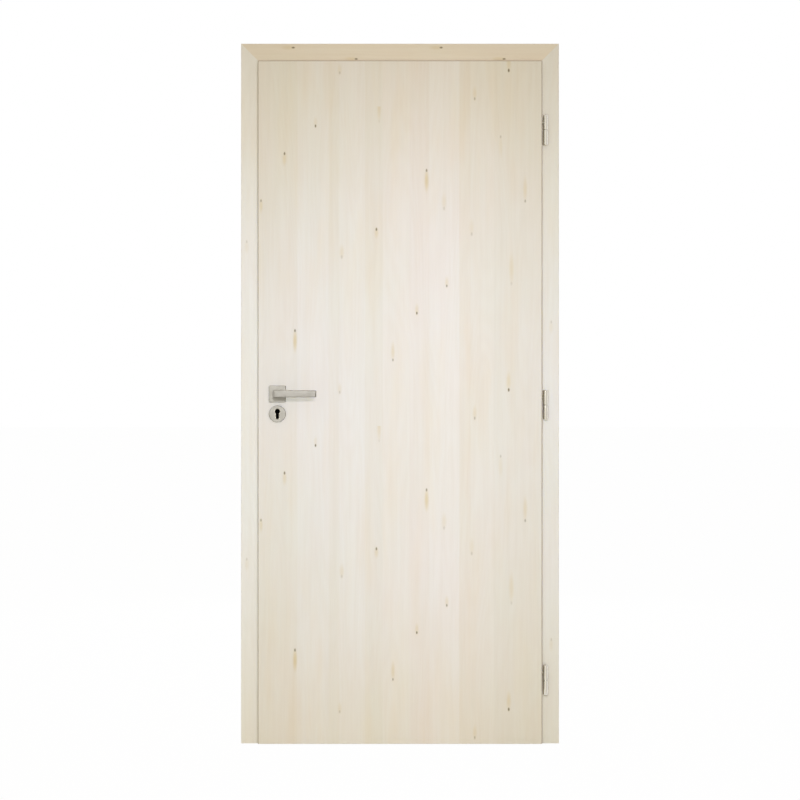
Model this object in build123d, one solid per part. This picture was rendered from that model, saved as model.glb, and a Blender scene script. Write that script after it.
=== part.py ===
"""Interior door set: a flush rebated leaf hung in a wrap-round casing frame.

Built closed. +X runs from the lock side to the hinge side, +Y goes from the room into the wall,
+Z is up. Pieces are worked out about the middle of the doorway and moved once, when they are
written, so that the origin lies on the floor at the corner of the wall opening: on the outer
face of the hinge jamb, in the plane of the wall's front face.
"""

import os

from build123d import *

# Leaf
LEAF_WIDTH = 844.0  # over both lips
LEAF_HEIGHT = 2030.0  # from the bottom edge to the top of the top lip
LEAF_THICKNESS = 40.0
LIP_WIDTH = 13.0  # how far the lip stands out past the leaf's body
LIP_THICKNESS = 15.0
LIP_ROUND = 1.5  # the lip's front edges
SKIN = 3.0  # the board that faces each side
STILE_WIDTH = 32.0
TOP_RAIL_HEIGHT = 45.0
BOTTOM_RAIL_HEIGHT = 60.0
FLOOR_GAP = 4.0

# Frame
CASING_WIDTH = 60.0
CASING_THICKNESS = 12.0
CASING_ROUND = 2.0  # the casing's two long front edges
WALL_THICKNESS = 100.0
LINING_THICKNESS = 28.0
STOP_LAP = 8.0  # how far the stop reaches behind the leaf's body
SIDE_CLEARANCE = 6.0  # body of the leaf to the jamb
LIP_CLEARANCE = 5.0  # back of the lip to the face of the casing
BACK_CLEARANCE = 6.0  # back of the leaf to the stop
HEAD_LAP = 3.0  # how far the top lip reaches over the head casing

# Seal
SEAL_STEM = 3.0
SEAL_DEPTH = 5.0
SEAL_BULB = 7.0
SEAL_CLEARANCE = 1.0  # bulb to the back of the closed leaf
SEAL_ROOM = 0.5  # behind the stem in its slot

# Hinges
HINGE_HEAD_INSET = 205.0  # top of the leaf to the joint of the top hinge
HINGE_FOOT_INSET = 189.0  # bottom of the leaf to the joint of the bottom hinge
HINGE_COUNT = 3
KNUCKLE_RADIUS = 7.5
KNUCKLE_HEIGHT = 44.7
KNUCKLE_CHAMFER = 0.5  # at the outer ends
KNUCKLE_GAP = 0.3  # between the two knuckles
HINGE_REACH = 11.3  # edge of the leaf to the hinge axis
PIN_RADIUS = 4.0
PIN_FIT = 0.05  # radial clearance of pin and lever collars
PIN_LENGTH = 34.0
ANCHOR_RADIUS = 4.0
ANCHOR_FIT = 0.1
ANCHOR_DEPTH = 34.0
ANCHOR_END = 1.0  # room left at the end of a pin or an anchor

# Lock
LEVER_HEIGHT = 1044.0
BACKSET = 45.0  # edge of the leaf's body to the lever axis
FOREND_WIDTH = 18.0
FOREND_HEIGHT = 235.0
FOREND_THICKNESS = 3.0
FOREND_DROP = 45.0  # lever axis to the middle of the forend
CASE_DEPTH = 72.0
CASE_HEIGHT = 165.0
CASE_THICKNESS = 15.0
BOLT_THICKNESS = 8.0
BOLT_LENGTH = 30.0
LATCH_HEIGHT = 18.0
LATCH_RISE = 16.0  # lever axis to the middle of the latch
DEAD_BOLT_HEIGHT = 22.0
DEAD_BOLT_DROP = 34.0
BOLT_FIT = 0.3
POCKET_FIT = 0.3
BLOCK_WIDTH = 66.0  # timber block that holds the lock, beside the stile
BLOCK_HEIGHT = 260.0

# Strike plate
STRIKE_THICKNESS = 2.0
STRIKE_HEIGHT = 150.0
STRIKE_DEPTH = 22.0
STRIKE_LEG = 6.0  # the leg bent round onto the casing's face
STRIKE_MARGIN = 3.0  # bolt to the end of its hole, up and down
STRIKE_SLACK = 0.5  # bolt to the side of its hole
STRIKE_POCKET = 16.0

# Lever handles
ROSE_SIZE = 50.0
ROSE_THICKNESS = 8.0
ROSE_CORNER = 3.0
ROSE_CHAMFER = 0.5
COLLAR_RADIUS = 9.5
NECK_WIDTH = 19.0
NECK_GAP = 0.6  # neck to the face of the rose
LEVER_LENGTH = 128.5
LEVER_BAR_HEIGHT = 20.0
LEVER_BAR_THICKNESS = 10.0
LEVER_STANDOFF = 60.0  # face of the leaf to the front of the bar
LEVER_OUTER_BEND = 9.0
LEVER_INNER_BEND = 7.0
LEVER_CHAMFER = 1.1
SPINDLE = 8.0
SPINDLE_FIT = 0.05
SPINDLE_GRIP = 34.0  # depth of the square hole in each lever
SPINDLE_ROOM = 1.0  # left at each end of the spindle
SPINDLE_BORE = 7.5  # radius of the hole through leaf and lock

# Keyhole and its cover
COVER_RADIUS = 25.0
COVER_THICKNESS = 8.0
COVER_CHAMFER = 0.8
KEYHOLE_DROP = 52.0  # lever axis to the round part of the keyhole
KEYHOLE_RADIUS = 7.6
KEYHOLE_STEM = 9.6
KEYHOLE_HEIGHT = 30.0
KEYHOLE_CHAMFER = 0.5

# Working values
OVERCUT = 1.0  # how far a cutting shape stands past the face that it opens
SAME_PLACE = 1e-6  # two coordinates nearer than this are the same

# Across the doorway, about its middle
lip_x = LEAF_WIDTH / 2
body_x = lip_x - LIP_WIDTH
jamb_x = body_x + SIDE_CLEARANCE
stop_x = body_x - STOP_LAP
lining_x = jamb_x + LINING_THICKNESS
hinge_x = lip_x + HINGE_REACH
lever_x = -body_x + BACKSET
stile_x = body_x - STILE_WIDTH

# Through the wall, from its front face
casing_y = -CASING_THICKNESS
lip_back_y = casing_y - LIP_CLEARANCE
face_y = lip_back_y - LIP_THICKNESS
back_y = face_y + LEAF_THICKNESS
stop_y = back_y + BACK_CLEARANCE
middle_y = (face_y + back_y) / 2
hinge_y = (face_y + lip_back_y) / 2
lock_y = (lip_back_y + back_y) / 2
front_skin_y = face_y + SKIN
rear_skin_y = back_y - SKIN

# Upwards from the floor
leaf_z = FLOOR_GAP
lip_z = leaf_z + LEAF_HEIGHT
body_z = lip_z - LIP_WIDTH
head_z = lip_z - HEAD_LAP
head_stop_z = body_z - STOP_LAP
keyhole_z = LEVER_HEIGHT - KEYHOLE_DROP
cover_z = keyhole_z + KEYHOLE_RADIUS - KEYHOLE_HEIGHT / 2
foot_z = keyhole_z + KEYHOLE_RADIUS - KEYHOLE_HEIGHT + KEYHOLE_STEM / 2
latch_z = LEVER_HEIGHT + LATCH_RISE
dead_bolt_z = LEVER_HEIGHT - DEAD_BOLT_DROP
forend_z = LEVER_HEIGHT - FOREND_DROP


def block(x, y, z):
    """A box between two values on each axis."""
    spans = (x, y, z)
    middle = [(low + high) / 2 for low, high in spans]
    size = [abs(high - low) for low, high in spans]
    return Pos(*middle) * Box(*size)


def rod(start, direction, radius, length):
    """A round bar from a point along a direction."""
    return extrude(Plane(origin=start, z_dir=direction) * Circle(radius), length)


def other_side(shape):
    """The same shape on the other side of the doorway's middle."""
    return mirror(shape, Plane.YZ)


def other_face(shape):
    """The same shape on the other face of the leaf."""
    return mirror(shape, Plane.XZ.offset(-middle_y))


def hinge_joints():
    """Heights at which the two knuckles of each hinge meet, from the bottom up."""
    low = leaf_z + HINGE_FOOT_INSET
    high = lip_z - HINGE_HEAD_INSET
    return [low + (high - low) * i / (HINGE_COUNT - 1) for i in range(HINGE_COUNT)]


# Frame: casings, linings, stops and seals


def casing_section(inner, wall_y, away):
    """Cross-section of a casing board: inner edge, wall side, and a rounded face away from it."""
    face = wall_y + away * CASING_THICKNESS
    middle = (inner + CASING_WIDTH / 2, (wall_y + face) / 2)
    board = Pos(*middle) * Rectangle(CASING_WIDTH, CASING_THICKNESS)
    shown = board.vertices().filter_by(lambda corner: abs(corner.Y - face) < SAME_PLACE)
    return fillet(shown, CASING_ROUND)


def side_casing(inner, top, wall_y, away):
    """Upright casing of the hinge side, mitred at its head."""
    outer = inner + CASING_WIDTH
    run = extrude(casing_section(inner, wall_y, away), top + CASING_WIDTH, dir=(0, 0, 1))
    outline = Polygon((inner, 0), (outer, 0), (outer, top + CASING_WIDTH), (inner, top), align=None)
    mitre = extrude(Plane.XZ * outline, WALL_THICKNESS + CASING_WIDTH, both=True)
    return run & mitre


def head_casing(inner, top, wall_y, away):
    """Casing over the doorway, mitred at both ends."""
    outer = inner + CASING_WIDTH
    section = Plane.YZ.offset(-outer) * mirror(
        Rot(0, 0, 90) * casing_section(top, wall_y, away), Plane.YZ
    )
    run = extrude(section, 2 * outer, dir=(1, 0, 0))
    outline = Polygon(
        (-outer, top + CASING_WIDTH),
        (-inner, top),
        (inner, top),
        (outer, top + CASING_WIDTH),
        align=None,
    )
    mitre = extrude(Plane.XZ * outline, WALL_THICKNESS + CASING_WIDTH, both=True)
    return run & mitre


def knuckle_middle(joint, side):
    """Middle of the knuckle above the joint (side 1) or below it (side -1), on the hinge axis."""
    return (hinge_x, hinge_y, joint + side * (KNUCKLE_GAP + KNUCKLE_HEIGHT) / 2)


def hinge_holes_in_frame():
    """Holes for the anchors of the lower knuckles, through casing and lining."""
    radius = ANCHOR_RADIUS + ANCHOR_FIT
    reach = KNUCKLE_RADIUS + ANCHOR_DEPTH
    return Compound(
        [rod(knuckle_middle(joint, -1), (0, 1, 0), radius, reach) for joint in hinge_joints()]
    )


def strike_openings():
    """The two holes that the latch and the dead bolt enter, as cutting blocks."""
    reach = STRIKE_THICKNESS + STRIKE_POCKET
    blocks = []
    for z, height in ((latch_z, LATCH_HEIGHT), (dead_bolt_z, DEAD_BOLT_HEIGHT)):
        half_height = height / 2 + STRIKE_MARGIN
        half_thickness = BOLT_THICKNESS / 2 + STRIKE_SLACK
        blocks.append(
            block(
                (-jamb_x - reach, -jamb_x),
                (lock_y - half_thickness, lock_y + half_thickness),
                (z - half_height, z + half_height),
            )
        )
    return Compound(blocks)


def strike_blank():
    """The strike plate without its holes: one leg in the rebate, one bent round the corner."""
    middle = (latch_z + dead_bolt_z) / 2
    heights = (middle - STRIKE_HEIGHT / 2, middle + STRIKE_HEIGHT / 2)
    corner = (-jamb_x, casing_y)
    outline = Polygon(
        corner,
        (corner[0], corner[1] + STRIKE_DEPTH),
        (corner[0] - STRIKE_THICKNESS, corner[1] + STRIKE_DEPTH),
        (corner[0] - STRIKE_THICKNESS, corner[1] + STRIKE_THICKNESS),
        (corner[0] - STRIKE_LEG, corner[1] + STRIKE_THICKNESS),
        (corner[0] - STRIKE_LEG, corner[1]),
        align=None,
    )
    return Pos(0, 0, heights[0]) * extrude(outline, heights[1] - heights[0], dir=(0, 0, 1))


def strike_plate():
    """Angled plate let in flush with the jamb, with a hole for each bolt."""
    plate = strike_blank() - strike_openings()
    bend = plate.edges().filter_by(Axis.Z)
    outer = [
        edge
        for edge in bend
        if abs(edge.center().X + jamb_x) < SAME_PLACE
        and abs(edge.center().Y - casing_y) < SAME_PLACE
    ]
    return fillet(outer, CASING_ROUND)


def seal_groove(depth_clearance):
    """Cross-section of the slot that holds the seal, in the front face of the hinge-side stop."""
    x = stop_x + STOP_LAP / 2
    depth = SEAL_DEPTH + depth_clearance
    return Pos(x, stop_y + depth / 2) * Rectangle(SEAL_STEM, depth)


def seal_section():
    """Cross-section of the seal: a stem in the slot and a rounded bulb towards the leaf."""
    x = stop_x + STOP_LAP / 2
    tip = back_y + SEAL_CLEARANCE
    left = (x - SEAL_BULB / 2, stop_y)
    right = (x + SEAL_BULB / 2, stop_y)
    bulb = make_face(Curve() + [ThreePointArc(left, (x, tip), right), Line(right, left)])
    return bulb + seal_groove(0)


def on_head(section):
    """Turn a section of the hinge side, drawn across X, into one of the head, drawn across Z."""
    moved = Pos(head_stop_z - stop_x, 0) * section
    return Plane.YZ * mirror(Rot(0, 0, 90) * moved, Plane.YZ)


def side_stop():
    """Stop strip of the hinge side, with the slot for its seal."""
    strip = block((stop_x, jamb_x), (stop_y, WALL_THICKNESS), (0, head_z))
    return strip - extrude(seal_groove(SEAL_ROOM), head_z, dir=(0, 0, 1))


def head_stop():
    """Stop strip under the head lining, between the two side strips."""
    strip = block((-stop_x, stop_x), (stop_y, WALL_THICKNESS), (head_stop_z, head_z))
    slot = extrude(on_head(seal_groove(SEAL_ROOM)), stop_x + OVERCUT, dir=(1, 0, 0), both=True)
    return strip - slot


def side_seal():
    """Seal of the hinge side, up to the underside of the head seal."""
    return extrude(seal_section(), head_stop_z, dir=(0, 0, 1))


def head_seal():
    """Seal of the head, between the side stops."""
    return extrude(on_head(seal_section()), stop_x, dir=(1, 0, 0), both=True)


def side_lining():
    """Lining board of the hinge side, from the floor to the head lining."""
    return block((jamb_x, lining_x), (0, WALL_THICKNESS), (0, head_z))


def head_lining():
    """Lining board over the doorway, lying on both side linings."""
    return block((-lining_x, lining_x), (0, WALL_THICKNESS), (head_z, head_z + LINING_THICKNESS))


# Hinges


def knuckle(joint, side):
    """One half of a hinge barrel, with its outer end chamfered."""
    start = (hinge_x, hinge_y, joint + side * KNUCKLE_GAP / 2)
    barrel = rod(start, (0, 0, side), KNUCKLE_RADIUS, KNUCKLE_HEIGHT)
    outer = barrel.edges().filter_by(GeomType.CIRCLE).sort_by_distance(start)[-1]
    return chamfer(outer, KNUCKLE_CHAMFER)


def frame_knuckle(joint):
    """Lower half of a hinge: knuckle, pin and an anchor that goes straight back into the frame."""
    middle = knuckle_middle(joint, -1)
    pin = rod(middle, (0, 0, 1), PIN_RADIUS - PIN_FIT, KNUCKLE_HEIGHT / 2 + PIN_LENGTH)
    anchor = rod(middle, (0, 1, 0), ANCHOR_RADIUS, KNUCKLE_RADIUS + ANCHOR_DEPTH - ANCHOR_END)
    return knuckle(joint, -1) + pin + anchor


def leaf_knuckle(joint):
    """Upper half of a hinge: bored knuckle and an anchor that goes into the edge of the lip."""
    start = (hinge_x, hinge_y, joint)
    reach = HINGE_REACH + ANCHOR_DEPTH - ANCHOR_END
    anchor = rod(knuckle_middle(joint, 1), (-1, 0, 0), ANCHOR_RADIUS, reach)
    bore = rod(start, (0, 0, 1), PIN_RADIUS, PIN_LENGTH + ANCHOR_END)
    return knuckle(joint, 1) + anchor - bore


def hinge_holes_in_leaf():
    """Holes for the anchors of the upper knuckles, in hinge lipping and stile."""
    radius = ANCHOR_RADIUS + ANCHOR_FIT
    reach = HINGE_REACH + ANCHOR_DEPTH
    return Compound(
        [rod(knuckle_middle(joint, 1), (-1, 0, 0), radius, reach) for joint in hinge_joints()]
    )


# Leaf


def keyhole():
    """Outline of the profile keyhole on the leaf's face: a round hole over a narrower stem."""
    stem_height = keyhole_z - foot_z
    stem = Pos(lever_x, keyhole_z - stem_height / 2) * Rectangle(KEYHOLE_STEM, stem_height)
    foot = Pos(lever_x, foot_z) * Circle(KEYHOLE_STEM / 2)
    return Pos(lever_x, keyhole_z) * Circle(KEYHOLE_RADIUS) + stem + foot


def facing(sketch, y):
    """A sketch drawn on X and Z, standing in the plane at y and facing the room."""
    return Plane.XZ.offset(-y) * sketch


def through_face(sketch, y_from, y_to):
    """A cutting prism of a sketch on X and Z between two depths."""
    return extrude(facing(sketch, y_to), y_to - y_from)


def through_leaf(sketch):
    """A cutting prism of a sketch on X and Z, right through the leaf."""
    return through_face(sketch, face_y - OVERCUT, back_y + OVERCUT)


def handle_bores():
    """What goes through skins and block: a bore for the spindle, a milled slot at the keyhole."""
    axis = Pos(lever_x, LEVER_HEIGHT) * Circle(SPINDLE_BORE)
    slot = Pos(lever_x, cover_z) * Rectangle(
        2 * (KEYHOLE_RADIUS + POCKET_FIT), KEYHOLE_HEIGHT + 2 * POCKET_FIT
    )
    return through_leaf(axis) + through_leaf(slot)


def lock_pocket():
    """The space that the lock's case and forend take in the leaf."""
    half = CASE_THICKNESS / 2 + POCKET_FIT
    case = block(
        (
            -body_x + FOREND_THICKNESS - OVERCUT,
            -body_x + FOREND_THICKNESS + CASE_DEPTH + POCKET_FIT,
        ),
        (lock_y - half, lock_y + half),
        (forend_z - CASE_HEIGHT / 2 - POCKET_FIT, forend_z + CASE_HEIGHT / 2 + POCKET_FIT),
    )
    return case + forend_blank()


def front_skin():
    """Front board: covers body and lips, with its front edges rounded."""
    board = block((-lip_x, lip_x), (face_y, front_skin_y), (leaf_z, lip_z))
    board = fillet(board.faces().sort_by(Axis.Y)[0].edges(), LIP_ROUND)
    return board - handle_bores()


def rear_skin():
    """Rear board: covers the body only."""
    board = block((-body_x, body_x), (rear_skin_y, back_y), (leaf_z, body_z))
    return board - handle_bores()


def side_stile():
    """Stile of the hinge side, from bottom to top of the leaf's body."""
    return block((stile_x, body_x), (front_skin_y, rear_skin_y), (leaf_z, body_z))


def side_lipping():
    """Lipping of the hinge side, which makes the lip behind the front skin."""
    return block((body_x, lip_x), (front_skin_y, lip_back_y), (leaf_z, lip_z))


def top_lipping():
    """Lipping along the top, between the two side lippings."""
    return block((-body_x, body_x), (front_skin_y, lip_back_y), (body_z, lip_z))


def top_rail():
    """Plain rail between the stiles at the top."""
    return block(
        (-stile_x, stile_x), (front_skin_y, rear_skin_y), (body_z - TOP_RAIL_HEIGHT, body_z)
    )


def bottom_rail():
    """Plain rail between the stiles at the foot."""
    return block(
        (-stile_x, stile_x), (front_skin_y, rear_skin_y), (leaf_z, leaf_z + BOTTOM_RAIL_HEIGHT)
    )


def lock_block():
    """Timber block beside the lock stile, which the lock is let into."""
    body = block(
        (-stile_x, -stile_x + BLOCK_WIDTH),
        (front_skin_y, rear_skin_y),
        (forend_z - BLOCK_HEIGHT / 2, forend_z + BLOCK_HEIGHT / 2),
    )
    return body - lock_pocket() - handle_bores()


def leaf_core():
    """Board that fills the leaf between stiles, rails and lock block."""
    body = block(
        (-stile_x, stile_x),
        (front_skin_y, rear_skin_y),
        (leaf_z + BOTTOM_RAIL_HEIGHT, body_z - TOP_RAIL_HEIGHT),
    )
    return body - block(
        (-stile_x, -stile_x + BLOCK_WIDTH),
        (front_skin_y, rear_skin_y),
        (forend_z - BLOCK_HEIGHT / 2, forend_z + BLOCK_HEIGHT / 2),
    )


# Lock


def bolt(z, height, fit=0.0):
    """A bolt drawn in flush with the forend, or with a fit the hole that it runs in."""
    return block(
        (-body_x, -body_x + BOLT_LENGTH + fit),
        (lock_y - BOLT_THICKNESS / 2 - fit, lock_y + BOLT_THICKNESS / 2 + fit),
        (z - height / 2 - fit, z + height / 2 + fit),
    )


def bolt_ways():
    """Both bolts' ways through forend and case."""
    return bolt(latch_z, LATCH_HEIGHT, BOLT_FIT) + bolt(dead_bolt_z, DEAD_BOLT_HEIGHT, BOLT_FIT)


def forend_blank():
    """The lock's round-ended face plate without its holes."""
    outline = Pos(lock_y, forend_z) * SlotOverall(FOREND_HEIGHT, FOREND_WIDTH, rotation=90)
    return extrude(Plane.YZ.offset(-body_x) * outline, FOREND_THICKNESS)


def forend():
    """Face plate in the edge of the leaf, with the bolts' two holes."""
    return forend_blank() - bolt_ways()


def lock_case():
    """Closed case of the lock, with the spindle's hole and the bolts' ways."""
    case = block(
        (-body_x + FOREND_THICKNESS, -body_x + FOREND_THICKNESS + CASE_DEPTH),
        (lock_y - CASE_THICKNESS / 2, lock_y + CASE_THICKNESS / 2),
        (forend_z - CASE_HEIGHT / 2, forend_z + CASE_HEIGHT / 2),
    )
    axis = Pos(lever_x, LEVER_HEIGHT) * Circle(SPINDLE_BORE)
    return case - bolt_ways() - through_leaf(axis)


# Handles, each made on the room side


def rose():
    """Square cover round the lever's collar."""
    outline = Pos(lever_x, LEVER_HEIGHT) * RectangleRounded(ROSE_SIZE, ROSE_SIZE, ROSE_CORNER)
    plate = extrude(facing(outline, face_y), ROSE_THICKNESS)
    plate = chamfer(plate.faces().sort_by(Axis.Y)[0].edges(), ROSE_CHAMFER)
    bore = Pos(lever_x, LEVER_HEIGHT) * Circle(COLLAR_RADIUS + PIN_FIT)
    return plate - extrude(facing(bore, face_y), ROSE_THICKNESS)


def countersink(radius, z):
    """A cone that opens towards the room, to sink the rim of a round end of the keyhole."""
    middle_depth = face_y - COVER_THICKNESS + KEYHOLE_CHAMFER / 2
    cone = Cone(radius, radius + KEYHOLE_CHAMFER, KEYHOLE_CHAMFER)
    return Pos(lever_x, middle_depth, z) * Rot(90, 0, 0) * cone


def stem_sink():
    """A wedge that sinks the two straight sides of the keyhole's stem."""
    front = face_y - COVER_THICKNESS
    narrow, wide = KEYHOLE_STEM / 2, KEYHOLE_STEM / 2 + KEYHOLE_CHAMFER
    section = Polygon(
        (lever_x - wide, front),
        (lever_x + wide, front),
        (lever_x + narrow, front + KEYHOLE_CHAMFER),
        (lever_x - narrow, front + KEYHOLE_CHAMFER),
        align=None,
    )
    return Pos(0, 0, foot_z) * extrude(section, keyhole_z - foot_z, dir=(0, 0, 1))


def escutcheon():
    """Round cover of the keyhole, with a profile hole whose rim is sunk all round."""
    outline = Pos(lever_x, cover_z) * Circle(COVER_RADIUS)
    plate = extrude(facing(outline, face_y), COVER_THICKNESS)
    plate = chamfer(plate.faces().sort_by(Axis.Y)[0].edges(), COVER_CHAMFER)
    hole = extrude(facing(keyhole(), face_y), COVER_THICKNESS)
    rim = countersink(KEYHOLE_RADIUS, keyhole_z) + countersink(KEYHOLE_STEM / 2, foot_z)
    return plate - hole - rim - stem_sink()


def lever():
    """Flat lever bent round into its neck, with a round collar and a square hole."""
    left = lever_x - NECK_WIDTH / 2
    front = face_y - LEVER_STANDOFF
    neck_back = face_y - ROSE_THICKNESS - NECK_GAP
    bar_back = front + LEVER_BAR_THICKNESS
    outline = Polygon(
        (left, neck_back),
        (left, front),
        (left + LEVER_LENGTH, front),
        (left + LEVER_LENGTH, bar_back),
        (left + NECK_WIDTH, bar_back),
        (left + NECK_WIDTH, neck_back),
        align=None,
    )
    outer = outline.vertices().sort_by_distance((left, front))[0]
    outline = fillet(outer, LEVER_OUTER_BEND)
    inner = outline.vertices().sort_by_distance((left + NECK_WIDTH, bar_back))[0]
    outline = fillet(inner, LEVER_INNER_BEND)
    low = LEVER_HEIGHT - LEVER_BAR_HEIGHT / 2
    body = Pos(0, 0, low) * extrude(outline, LEVER_BAR_HEIGHT, dir=(0, 0, 1))
    long_faces = body.faces().sort_by(Axis.Z)
    body = chamfer(long_faces[0].edges() + long_faces[-1].edges(), LEVER_CHAMFER)
    collar = extrude(
        facing(Pos(lever_x, LEVER_HEIGHT) * Circle(COLLAR_RADIUS), face_y),
        ROSE_THICKNESS + NECK_GAP + LEVER_BAR_THICKNESS,
    )
    size = SPINDLE + 2 * SPINDLE_FIT
    socket = Pos(lever_x, LEVER_HEIGHT) * Rectangle(size, size)
    return body + collar - extrude(facing(socket, face_y), SPINDLE_GRIP)


def spindle():
    """Square bar that joins the two levers through the lock."""
    section = Pos(lever_x, LEVER_HEIGHT) * Rectangle(SPINDLE, SPINDLE)
    reach = SPINDLE_GRIP - SPINDLE_ROOM
    return through_face(section, face_y - reach, back_y + reach)


def frame_nodes():
    """Everything that stays on the wall."""
    front = (jamb_x, head_z, 0.0, -1)
    rear = (stop_x, head_stop_z, WALL_THICKNESS, 1)
    holes = hinge_holes_in_frame()
    strike_space = strike_blank() + strike_openings()
    nodes = {
        "front_casing_hinge_side": side_casing(*front) - holes,
        "front_casing_lock_side": other_side(side_casing(*front)) - strike_space,
        "front_casing_head": head_casing(*front),
        "rear_casing_hinge_side": side_casing(*rear),
        "rear_casing_lock_side": other_side(side_casing(*rear)),
        "rear_casing_head": head_casing(*rear),
        "lining_hinge_side": side_lining() - holes,
        "lining_lock_side": other_side(side_lining()) - strike_space,
        "lining_head": head_lining(),
        "stop_hinge_side": side_stop(),
        "stop_lock_side": other_side(side_stop()),
        "stop_head": head_stop(),
        "seal_hinge_side": side_seal(),
        "seal_lock_side": other_side(side_seal()),
        "seal_head": head_seal(),
        "strike_plate": strike_plate(),
    }
    for number, joint in enumerate(hinge_joints(), 1):
        nodes[f"hinge_{number}_frame_half"] = frame_knuckle(joint)
    return nodes


def leaf_nodes():
    """Everything that swings."""
    holes = hinge_holes_in_leaf()
    nodes = {
        "leaf_front_skin": front_skin(),
        "leaf_rear_skin": rear_skin(),
        "leaf_hinge_stile": side_stile() - holes,
        "leaf_lock_stile": other_side(side_stile()) - lock_pocket(),
        "leaf_hinge_lipping": side_lipping() - holes,
        "leaf_lock_lipping": other_side(side_lipping()),
        "leaf_top_lipping": top_lipping(),
        "leaf_top_rail": top_rail(),
        "leaf_bottom_rail": bottom_rail(),
        "leaf_lock_block": lock_block(),
        "leaf_core": leaf_core(),
        "lock_forend": forend(),
        "lock_case": lock_case(),
        "latch_bolt": bolt(latch_z, LATCH_HEIGHT),
        "dead_bolt": bolt(dead_bolt_z, DEAD_BOLT_HEIGHT),
        "front_rose": rose(),
        "rear_rose": other_face(rose()),
        "front_escutcheon": escutcheon(),
        "rear_escutcheon": other_face(escutcheon()),
    }
    for number, joint in enumerate(hinge_joints(), 1):
        nodes[f"hinge_{number}_leaf_half"] = leaf_knuckle(joint)
    return nodes


def lever_nodes():
    """Both levers and the bar that joins them."""
    return {
        "front_lever": lever(),
        "rear_lever": other_face(lever()),
        "lever_spindle": spindle(),
    }


os.makedirs("parts", exist_ok=True)
for name, shape in {**frame_nodes(), **leaf_nodes(), **lever_nodes()}.items():
    export_step(Pos(-lining_x, 0, 0) * shape, f"parts/{name}.step")
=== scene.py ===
"""Looks of an interior door set: pale spruce decor, satin nickel handles, bright barrel hinges.

Metres throughout. +X runs from the lock side to the hinge side, +Y goes from the room into the
wall, +Z is up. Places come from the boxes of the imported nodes, and new pieces stand where the
nodes they replace stand.
"""

from __future__ import annotations

import logging
import math
from dataclasses import dataclass, field
from enum import Enum
from functools import cache

import bmesh
import bpy
import numpy as np
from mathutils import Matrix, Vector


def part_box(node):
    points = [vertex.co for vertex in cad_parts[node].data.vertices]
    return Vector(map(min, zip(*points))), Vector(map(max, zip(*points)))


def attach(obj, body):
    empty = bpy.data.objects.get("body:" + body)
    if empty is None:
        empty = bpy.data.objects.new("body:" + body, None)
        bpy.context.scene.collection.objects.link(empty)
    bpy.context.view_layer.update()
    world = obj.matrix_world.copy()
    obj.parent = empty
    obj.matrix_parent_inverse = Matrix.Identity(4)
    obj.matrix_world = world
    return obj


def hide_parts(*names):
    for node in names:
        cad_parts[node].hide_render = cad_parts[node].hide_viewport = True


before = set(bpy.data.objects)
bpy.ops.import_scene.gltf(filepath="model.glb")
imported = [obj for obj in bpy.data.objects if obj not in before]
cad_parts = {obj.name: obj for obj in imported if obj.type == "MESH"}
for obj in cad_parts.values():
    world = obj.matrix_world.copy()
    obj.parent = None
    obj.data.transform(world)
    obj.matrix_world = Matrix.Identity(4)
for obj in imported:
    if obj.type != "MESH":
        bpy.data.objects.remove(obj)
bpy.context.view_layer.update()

LOG = logging.getLogger("door_set")
MM = 0.001
FULL_TURN = 2 * math.pi

# The doorway's middle, and the leaf's half width, front face and top edge
DOORWAY_MIDDLE = -0.443
LEAF_HALF = 0.422
LEAF_FACE = -0.032
LEAF_TOP = 2.034

Pair = tuple[float, float]
Tint = tuple[float, float, float]


# Meshes: grids of points worked out as whole arrays


def grid_faces(rows: int, columns: int, ring: bool) -> np.ndarray:
    """Number the quads between neighbouring points of a grid whose last column joins the first.

    Args:
        rows: points along the first parameter.
        columns: points along the second parameter.
        ring: whether the last row joins the first too.

    Returns:
        An array of quads, four point numbers each.
    """
    row = np.arange(rows if ring else rows - 1)
    a, b = np.meshgrid(row, np.arange(columns), indexing="ij")
    below, beside = (a + 1) % rows, (b + 1) % columns
    quads = (a * columns + b, a * columns + beside, below * columns + beside, below * columns + b)
    return np.stack(quads, -1).reshape(-1, 4)


@dataclass
class Shell:
    """One closed surface on a grid of points, with rows along the first parameter."""

    points: np.ndarray
    ring: bool = False
    layer: int = 0
    second: range = range(0)

    def faces(self, start: int) -> list[list[int]]:
        """List the shell's faces.

        Args:
            start: number of the shell's first point in the mesh.

        Returns:
            Quads, and a flat face over each open end.
        """
        rows, columns, _ = self.points.shape
        found = (grid_faces(rows, columns, self.ring) + start).tolist()
        if not self.ring:
            found.append(list(range(start, start + columns)))
            found.append(list(range(start + (rows - 1) * columns, start + rows * columns)))
        return found

    def layers(self) -> list[int]:
        """List each face's finish: the shell's own, and the next one on its second rows."""
        rows, columns, _ = self.points.shape
        row = np.repeat(np.arange(rows if self.ring else rows - 1), columns)
        found = (self.layer + np.isin(row, self.second)).tolist()
        return found if self.ring else found + [self.layer, self.layer]


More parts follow.
